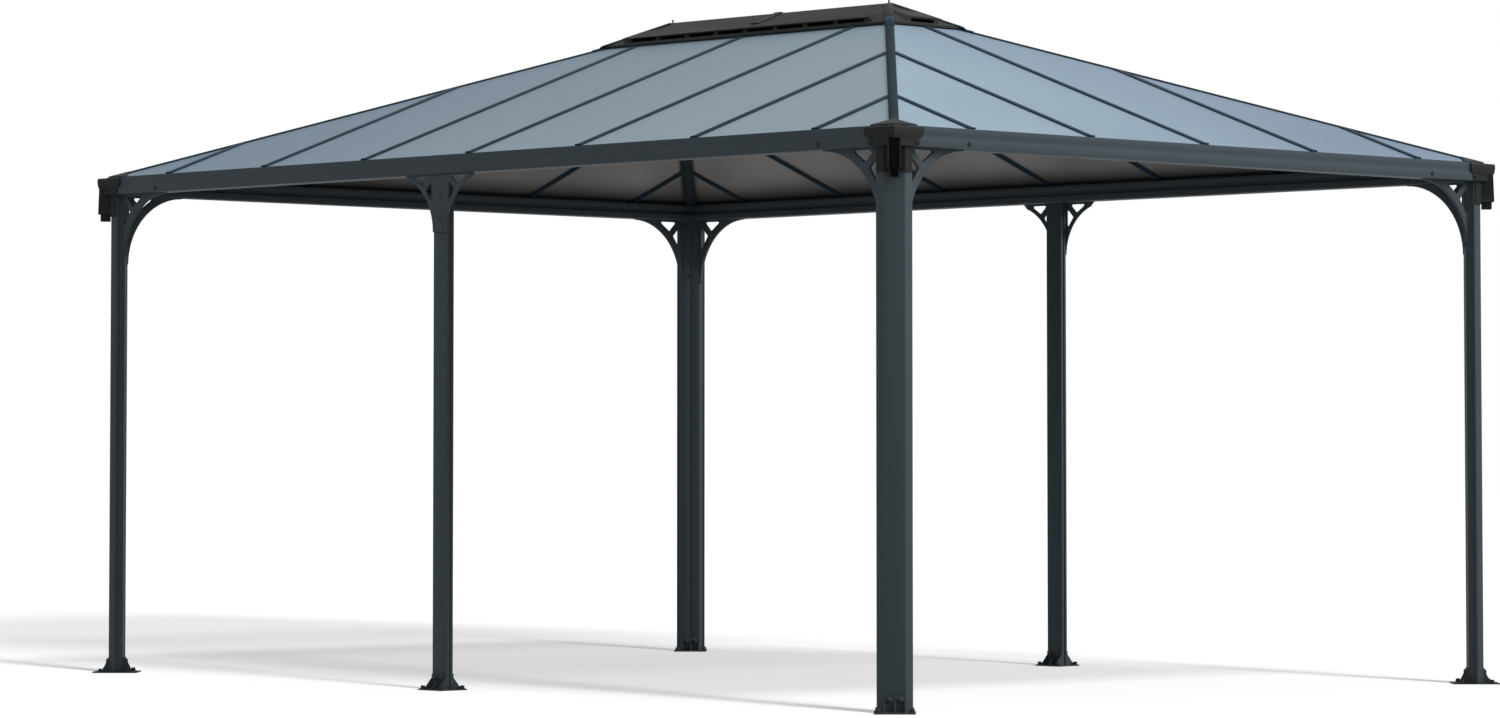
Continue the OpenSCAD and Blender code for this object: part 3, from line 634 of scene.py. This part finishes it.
def copy_at(piece, spot):
    """A copy of a piece with a mesh of its own, held by nothing, at a spot."""
    copy = piece.copy()
    copy.data = piece.data.copy()
    copy.parent = None
    copy.matrix_world = spot
    bpy.context.scene.collection.objects.link(copy)
    return copy


def plain_copy(name):
    """A copy of a CAD node with its flat faces whole."""
    piece = copy_at(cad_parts[name], Matrix.Identity(4))
    take(piece)
    bpy.ops.mesh.customdata_custom_splitnormals_clear()
    edit_all()
    bpy.ops.mesh.remove_doubles(threshold=MERGE)
    bpy.ops.mesh.dissolve_limited(angle_limit=FLAT_ANGLE)
    end_edit()
    return piece


def turned(piece, spot):
    """A copy of a piece at another spot, with its place and turn taken into its mesh."""
    copy = copy_at(piece, spot)
    take(copy)
    bpy.ops.object.transform_apply(location=True, rotation=True)
    return copy


def copies(model, spots, name, material):
    """Copies a model to every spot, joins the copies in one piece and drops the model."""
    clear_selection()
    for spot in spots:
        copy = copy_at(model, spot)
        copy.select_set(True)
        bpy.context.view_layer.objects.active = copy
    bpy.ops.object.transform_apply(location=True, rotation=True, scale=True)
    bpy.ops.object.join()
    dressed(bpy.context.object, name, material)
    bpy.data.objects.remove(model)


def block(low, high):
    """A box from one corner to the opposite one, to be shaped further."""
    clear_selection()
    middle = [(a + b) / 2 for a, b in zip(low, high)]
    size = [b - a for a, b in zip(low, high)]
    bpy.ops.mesh.primitive_cube_add(size=1.0, location=middle, scale=size)
    bpy.ops.object.transform_apply(location=True, scale=True)
    return bpy.context.object


def drum(sides, radius, low, high, x=0.0):
    """An upright round or many-sided block between two heights, to be shaped further."""
    clear_selection()
    bpy.ops.mesh.primitive_cylinder_add(vertices=sides, radius=radius, depth=high - low,
                                        location=(x, 0, (low + high) / 2))
    bpy.ops.object.transform_apply(location=True)
    return bpy.context.object


def merge(piece, tool, way):
    """Adds a tool to a piece, or cuts it out, and drops the tool."""
    take(piece)
    step = piece.modifiers.new("merge", "BOOLEAN")
    step.operation = way
    step.solver = "EXACT"
    step.object = tool
    bpy.ops.object.modifier_apply(modifier=step.name)
    bpy.data.objects.remove(tool)


def softened(material, slot, width, *starts):
    """Stands rounded copies in for every CAD node whose name starts with one of the words."""
    for name in sorted(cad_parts):
        if not name.startswith(starts):
            continue
        piece = plain_copy(name)
        rounded_edges(piece, width)
        dressed(piece, name + "_rounded", material)
        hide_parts(name)


def standing(place, way):
    """Where a model goes that stands on a place and points a way."""
    return Matrix.Translation(place) @ way.to_track_quat("Z", "Y").to_matrix().to_4x4()


def from_corner(corner, x, y, z):
    """A place given from the gutters' outer corner, inwards along both sides."""
    side_x, side_y = CORNERS[corner]
    return Vector((side_x * (HALF_L - x), side_y * (HALF_W - y), z))


def corner_way(corner, x, y, z):
    """A direction given at a corner, inwards along both sides."""
    side_x, side_y = CORNERS[corner]
    return Vector((-side_x * x, -side_y * y, z))


def from_diagonal(corner, along, across, z):
    """A place given along a corner's diagonal and across it."""
    return from_corner(corner, (along - across) / ROOT2, (along + across) / ROOT2, z)


def on_diagonal(corner, along, turn):
    """A spot on the floor along a corner's diagonal, its +X inwards and then turned."""
    way = corner_way(corner, 1, 1, 0)
    heading = math.atan2(way.y, way.x) + turn
    return Matrix.Translation(from_diagonal(corner, along, 0.0, 0.0)) @ Matrix.Rotation(heading, 4, "Z")


def middle_of(name):
    """The middle of a middle post, and the way out from it."""
    low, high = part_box("post_" + name)
    return (low + high) / 2, Vector((0, MIDDLES[name], 0))


def hex_bolt(reach, height, washer, washer_t):
    """Hexagon head with a chamfered, dished crown on a round washer, standing on z = 0."""
    disc = drum(WASHER_SIDES, washer, 0.0, washer_t)
    pick_faces(disc, top_face)
    inset(washer_t * WASHER_INSET, washer_t * WASHER_RISE)
    end_edit()
    base = washer_t * (1 + WASHER_RISE)
    head = drum(HEX_SIDES, reach, base, base + height)
    pick_faces(head, top_face)
    for inwards, rise in HEX_STEPS:
        inset(reach * inwards, height * rise)
    end_edit()
    disc.select_set(True)
    bpy.ops.object.join()
    bpy.ops.object.shade_smooth_by_angle(angle=SMOOTH_ANGLE)
    return head


def button_screw(radius, height, keyed):
    """Domed screw head, with a hollow for the key or closed, standing on z = 0."""
    head = drum(SCREW_SIDES, radius, 0.0, height * SCREW_RIM)
    pick_faces(head, top_face)
    for inwards, rise in SCREW_STEPS:
        inset(radius * inwards, height * rise)
    if keyed:
        extrude((0, 0, -height * SCREW_KEY))
    end_edit()
    bpy.ops.object.shade_smooth_by_angle(angle=SMOOTH_ANGLE)
    return head


def end_stop(width, length, wall, drop):
    """Clip on the lower end of a rafter's cap: a top with a front turned down, its front at y = 0."""
    clip = block((-width / 2, 0, 0), (width / 2, length, wall))
    edit_all()
    bpy.ops.mesh.bisect(plane_co=(0, wall, 0), plane_no=(0, 1, 0))
    pick_faces(clip, lambda face: face.normal.z < -FACING and face.center.y < wall)
    extrude((0, 0, -drop))
    end_edit()
    rounded_edges(clip, wall * TRIM_ROUND)
    return clip


def hip_strap(path, half, fold, thick):
    """Folded strap along +Y over a hip, its underside on a path of places and heights."""
    start, height = path[0]
    strap = block((-half, start - thick, height), (half, start, height + thick))
    edit_all()
    bpy.ops.mesh.bisect(plane_co=(0, 0, 0), plane_no=(1, 0, 0))
    pick_points(strap, lambda point: abs(point.co.x) > half / 2)
    bpy.ops.transform.translate(value=(0.0, 0.0, -fold))
    pick_faces(strap, lambda face: face.normal.y > FACING)
    for before, after in zip(path, path[1:]):
        extrude((0.0, after[0] - before[0], after[1] - before[1]))
    end_edit()
    rounded_edges(strap, thick * TRIM_ROUND)
    return strap


def strap_spots():
    """Spots at the ridge's ends with +Y down each hip."""
    for side_x, side_y in CORNERS.values():
        heading = math.atan2(-side_x, side_y)
        yield Matrix.Translation((side_x * RIDGE_HALF, 0, 0)) @ Matrix.Rotation(heading, 4, "Z")


def hipped_shell():
    """The cap's body: a thin hipped roof with a small lip, hollow to the roof's own slope below."""
    outer = RIDGE_HALF + VENT_REACH
    shell = block((-outer, -VENT_REACH, VENT_LOW), (outer, VENT_REACH, VENT_LOW + VENT_LIP))
    for side, lift in ((1, VENT_RISE - VENT_LIP), (-1, VENT_REACH * math.tan(PITCH))):
        pick_faces(shell, lambda face: face.normal.z * side > FACING and face.area > VENT_REACH)
        extrude((0, 0, lift))
        bpy.ops.transform.resize(value=(RIDGE_HALF / outer, 0.0, 1.0), center_override=(0, 0, 0))
    bpy.ops.mesh.select_all(action="SELECT")
    bpy.ops.mesh.remove_doubles(threshold=MERGE)
    bpy.ops.mesh.normals_make_consistent(inside=False)
    end_edit()
    return shell


def vent_box(half, reach, wall, hip_at):
    """A box on the cap's front slope, its roof falling from the fold to an upright wall, cut at the hips."""
    box = block((-half, -reach, VENT_LOW + BOX_LOW), (half, -VENT_FOLD, VENT_LOW + wall))
    front = -reach + MERGE
    for height, lift in ((wall, FOLD_Z - wall), (BOX_LOW, BOX_BACK - BOX_LOW)):
        level = VENT_LOW + height
        pick_points(box, lambda point: abs(point.co.z - level) < MERGE and point.co.y > front)
        bpy.ops.transform.translate(value=(0.0, 0.0, lift))
    wall_top = VENT_LOW + wall - MERGE
    fold_top = VENT_LOW + FOLD_Z - MERGE
    pick_points(box, lambda point: point.co.z < (wall_top if point.co.y < front else fold_top))
    bpy.ops.transform.resize(value=((half + BOX_LEAN) / half, 1.0, 1.0), center_override=(0, 0, 0))
    for way in (1, -1):
        bpy.ops.mesh.select_all(action="SELECT")
        bpy.ops.mesh.bisect(plane_co=(way * hip_at, 0, 0), plane_no=(way, 1, 0),
                            use_fill=True, clear_outer=True)
    end_edit()
    return box


def slot_tool(low_x, high_x, reach, depth, edge):
    """A slot through a vent box's wall, with rounded ends where it has an edge."""
    low = VENT_LOW + SLOT_LOW
    tool = block((low_x, -reach - SLOT_DEEP, low), (high_x, -reach + depth, low + SLOT_HEIGHT))
    if not edge:
        return tool
    bpy.ops.object.mode_set(mode="EDIT")
    bpy.ops.mesh.select_all(action="DESELECT")
    end_edit()
    for line in tool.data.edges:
        ends = [tool.data.vertices[i].co for i in line.vertices]
        line.select = abs(ends[0].y - ends[1].y) > MERGE
    bpy.context.tool_settings.mesh_select_mode = (False, True, False)
    bpy.ops.object.mode_set(mode="EDIT")
    bpy.ops.mesh.bevel(offset=edge, segments=SLOT_ROUND_STEPS)
    end_edit()
    return tool


def at_ridge_end(tool):
    """Moves a tool from the cap's front to the ridge's right end."""
    moved = turned(tool, AT_RIDGE_END)
    bpy.data.objects.remove(tool)
    return moved


def cap_boxes():
    """The vent boxes on the cap's front and on its right end."""
    louvre = vent_box(LOUVRE_HALF, LOUVRE_REACH, LOUVRE_WALL, RIDGE_HALF - HIP_INSET)
    return [louvre, at_ridge_end(vent_box(MOUTH_HALF, MOUTH_REACH, MOUTH_WALL, -HIP_INSET))]


def cap_slots():
    """The recess and slots in the front box, and the slot in the end's box."""
    half = LOUVRE_HALF - SLOT_HEIGHT
    pitch = 2 * half / SLOT_COUNT
    tools = [slot_tool(-half, half, LOUVRE_REACH, RECESS, SLOT_ROUND)]
    for i in range(SLOT_COUNT):
        middle = (i - SLOT_COUNT / 2 + 0.5) * pitch
        low_x = middle - SLOT_SHARE * pitch / 2
        high_x = middle + SLOT_SHARE * pitch / 2
        tools.append(slot_tool(low_x, high_x, LOUVRE_REACH, SLOT_DEEP, 0.0))
    tools.append(at_ridge_end(slot_tool(-MOUTH_SLOT, MOUTH_SLOT, MOUTH_REACH, SLOT_DEEP, SLOT_ROUND)))
    return tools


def seam_path():
    """The lap seam's underside over the cap, from one side to the other: place and height."""
    fall = (FOLD_Z - LOUVRE_WALL) / (LOUVRE_REACH - VENT_FOLD)
    low = VENT_LOW + FOLD_Z - (SEAM_REACH - VENT_FOLD) * fall
    return [(-SEAM_REACH, low), (-VENT_FOLD, VENT_LOW + FOLD_Z), (0.0, RIDGE_TOP),
            (VENT_FOLD, VENT_LOW + FOLD_Z), (SEAM_REACH, low)]


def pin():
    """A pin on the ridge's end with a chamfered top."""
    stub = drum(PIN_SIDES, PIN_RADIUS, RIDGE_TOP - PIN_SUNK, RIDGE_TOP + PIN_HEIGHT, RIDGE_HALF)
    pick_faces(stub, top_face)
    bpy.ops.mesh.bevel(offset=PIN_CHAMFER, segments=ROUND_STEPS)
    end_edit()
    return stub


def cap_trim():
    """The cap's lap seam, the strips on its hips and its two pins."""
    parts = [hip_strap(seam_path(), SEAM_HALF, 0.0, SEAM_RISE)]
    path = [(STRIP_FROM, RIDGE_TOP - STRIP_FROM / ROOT2 * CAP_SLOPE),
            (STRIP_END * ROOT2, RIDGE_TOP - STRIP_END * CAP_SLOPE)]
    strip = hip_strap(path, STRIP_HALF, STRIP_HALF * CAP_SLOPE / ROOT2, SEAM_RISE)
    parts += [turned(strip, spot) for spot in strap_spots()]
    bpy.data.objects.remove(strip)
    stub = pin()
    return [*parts, turned(stub, ABOUT), stub]


def ridge_cap(material):
    """The vent's raised cap: hipped shell, slotted boxes on sides and ends, strips, seam and pins."""
    cap = hipped_shell()
    for tools, way in ((cap_boxes(), "UNION"), (cap_slots(), "DIFFERENCE")):
        for tool in tools:
            merge(cap, turned(tool, ABOUT), way)
            merge(cap, tool, way)
    parts = cap_trim()
    rounded_edges(cap, SMALL_ROUND)
    for part in parts:
        part.select_set(True)
    bpy.ops.object.join()
    dressed(cap, "ridge_cap_fitted", material)
    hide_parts("ridge_cap")


def open_covers(material):
    """The corner covers with their downspouts' hollow run up to the band."""
    for corner in CORNERS:
        name = "corner_cover_" + corner
        piece = plain_copy(name)
        tool = block((-HOLLOW_OUT, -HOLLOW_HALF, SPOUT_LOW), (HOLLOW_IN, HOLLOW_HALF, SPOUT_TOP))
        merge(piece, turned(tool, on_diagonal(corner, 0.0, 0.0)), "DIFFERENCE")
        bpy.data.objects.remove(tool)
        rounded_edges(piece, SMALL_ROUND)
        dressed(piece, name + "_rounded", material)
        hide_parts(name)


def gusset_tool():
    """What lies outside a corner foot's gussets on one side: a block with a leaning inner face."""
    tool = block((GUSSET_LOW, -GUSSET_WIDE, FOOT_TOP + GUSSET_GAP), (GUSSET_FAR, GUSSET_WIDE, GUSSET_TOP))
    pick_points(tool, lambda point: point.co.z > GUSSET_TOP - MERGE and point.co.x < GUSSET_LOW + MERGE)
    bpy.ops.transform.translate(value=(GUSSET_HIGH - GUSSET_LOW, 0.0, 0.0))
    end_edit()
    return tool


def corner_feet(material):
    """The corner feet with their gussets cut back to short, steep ones, clear of the ground screws."""
    model = gusset_tool()
    for corner in CORNERS:
        name = "foot_" + corner
        piece = plain_copy(name)
        for turn in (0.0, math.pi):
            merge(piece, turned(model, on_diagonal(corner, POST_MIDDLE, turn)), "DIFFERENCE")
        rounded_edges(piece, SMALL_ROUND)
        dressed(piece, name + "_rounded", material)
        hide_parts(name)
    bpy.data.objects.remove(model)


def ground_screw_spots():
    for corner in CORNERS:
        for along in (-FOOT_HOLE, FOOT_HOLE):
            for across in (-FOOT_HOLE, FOOT_HOLE):
                yield standing(from_diagonal(corner, POST_MIDDLE + along, across, FOOT_TOP), UP)
    for name in MIDDLES:
        middle = middle_of(name)[0]
        for x in (-MID_HOLE, MID_HOLE):
            for y in (-MID_HOLE, MID_HOLE):
                yield standing(Vector((middle.x + x, middle.y + y, FOOT_TOP)), UP)


def foot_bolt_spots():
    for corner in CORNERS:
        inward = corner_way(corner, 1, 1, 0)
        for across in (-FLANGE_BOLT_ACROSS, FLANGE_BOLT_ACROSS):
            for side in (-1, 1):
                along = POST_MIDDLE + side * (POST_HALF_D + FLANGE)
                yield standing(from_diagonal(corner, along, across, FLANGE_BOLT_Z), side * inward)
    for name in MIDDLES:
        middle, out = middle_of(name)
        for across in (-FLANGE_BOLT_ACROSS, FLANGE_BOLT_ACROSS):
            for side in (-1, 1):
                place = Vector((middle.x + across, middle.y, FLANGE_BOLT_Z))
                yield standing(place + side * (MID_HALF_D + FLANGE) * out, side * out)


def post_bolt_spots():
    for corner in CORNERS:
        inward = corner_way(corner, 1, 1, 0)
        along = POST_MIDDLE + POST_HALF_D
        for across in (-POST_BOLT_ACROSS, POST_BOLT_ACROSS):
            yield standing(from_diagonal(corner, along, across, BEAM_LOW - POST_BOLT_DROP), inward)
        yield standing(from_diagonal(corner, along, 0.0, BEAM_LOW - POST_BOLT_LOW), inward)
    for name in MIDDLES:
        middle, out = middle_of(name)
        for drop in MID_BOLT_DROPS:
            yield standing(Vector((middle.x, middle.y, BEAM_LOW - drop)) - MID_HALF_D * out, -out)
        for drop in PLATE_BOLT_DROPS:
            yield standing(Vector((middle.x, middle.y, BEAM_LOW - drop)) + (MID_HALF_D + PLATE) * out, out)


def gutter_bolt_spots():
    for corner in CORNERS:
        yield standing(from_corner(corner, GUTTER_BOLT_AT, 0.0, GUTTER_BOLT_Z), corner_way(corner, 0, -1, 0))
        yield standing(from_corner(corner, 0.0, GUTTER_BOLT_AT, GUTTER_BOLT_Z), corner_way(corner, -1, 0, 0))


def cover_screw_spots():
    for corner in CORNERS:
        yield standing(from_corner(corner, EAR_AT, -EAR_OUT, EAR_Z), corner_way(corner, 0, -1, 0))
        yield standing(from_corner(corner, -EAR_OUT, EAR_AT, EAR_Z), corner_way(corner, -1, 0, 0))


def end_stop_spots():
    for turn in range(4):
        out, count = ((HALF_W, RAFTERS_LONG), (HALF_L, RAFTERS_SHORT))[turn % 2]
        side = Matrix.Rotation(turn * QUARTER, 4, "Z")
        eave = Matrix.Translation((0, -out, BEAM_LOW + EAVE_HEIGHT))
        slope = side @ eave @ Matrix.Rotation(PITCH, 4, "X")
        for i in range(-count, count + 1):
            place = (i * BAY, SHEET_EDGE - STOP_WALL - STOP_GAP, CAP_TOP + STOP_GAP)
            yield slope @ Matrix.Translation(place)


bpy.context.scene.view_settings.view_transform = "Standard"
camera()
backdrop()
floor = ground()
light_only(lamp("key", *KEY_LAMP), floor, "EXCLUDE")
for i, settings in enumerate(FLOOR_LAMPS):
    light_only(lamp("floor_lamp_" + str(i), *settings), floor, "INCLUDE")

# Finishes
paints = [powder_coat(name, *values) for name, values in PAINTS.items()]
steel, gutter_paint, glazing, hip_paint, foot_paint, bolt_paint = paints
cover_plastic, vent_plastic = [moulded_plastic(name, *values) for name, values in PLASTICS.items()]
long_sheet, short_sheet = [twin_wall(name, *values) for name, values in SHEETS.items()]

# Rounded copies of the frame's pieces, and the pieces that are cut or made anew
softened(steel, "frame", FRAME_ROUND, "post", "ridge_beam")
softened(gutter_paint, "frame", FRAME_ROUND, "joining", "gutter", "braces")
softened(glazing, "frame", BAR_ROUND, "rafters")
softened(hip_paint, "frame", BAR_ROUND, "hip")
softened(foot_paint, "foot", SMALL_ROUND, "foot_front_mid", "foot_back_mid")
corner_feet(foot_paint)
open_covers(cover_plastic)
softened(vent_plastic, "plastic", SMALL_ROUND, "vent_base")
ridge_cap(vent_plastic)
for name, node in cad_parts.items():
    if name.startswith("panels"):
        node.data.materials.clear()
        node.data.materials.append(long_sheet if name.endswith(("front", "back")) else short_sheet)

# Fasteners and small fittings
copies(hex_bolt(*GROUND_SCREW), ground_screw_spots(), "ground_screws", bolt_paint)
copies(button_screw(*FOOT_BOLT, False), foot_bolt_spots(), "foot_bolts", foot_paint)
copies(button_screw(*FRAME_BOLT, True), post_bolt_spots(), "post_bolts", gutter_paint)
copies(button_screw(*FRAME_BOLT, False), gutter_bolt_spots(), "gutter_bolts", bolt_paint)
copies(button_screw(*COVER_SCREW, True), cover_screw_spots(), "cover_screws", bolt_paint)
clip = end_stop(STOP_WIDTH, STOP_LENGTH, STOP_WALL, STOP_DROP)
copies(clip, end_stop_spots(), "rafter_end_stops", glazing)
strap_path = [(reach * ROOT2, height + STRAP_GAP) for reach, height in STRAP_PATH]
strap = hip_strap(strap_path, STRAP_HALF, STRAP_FOLD, STRAP_THICK)
copies(strap, strap_spots(), "hip_straps", glazing)
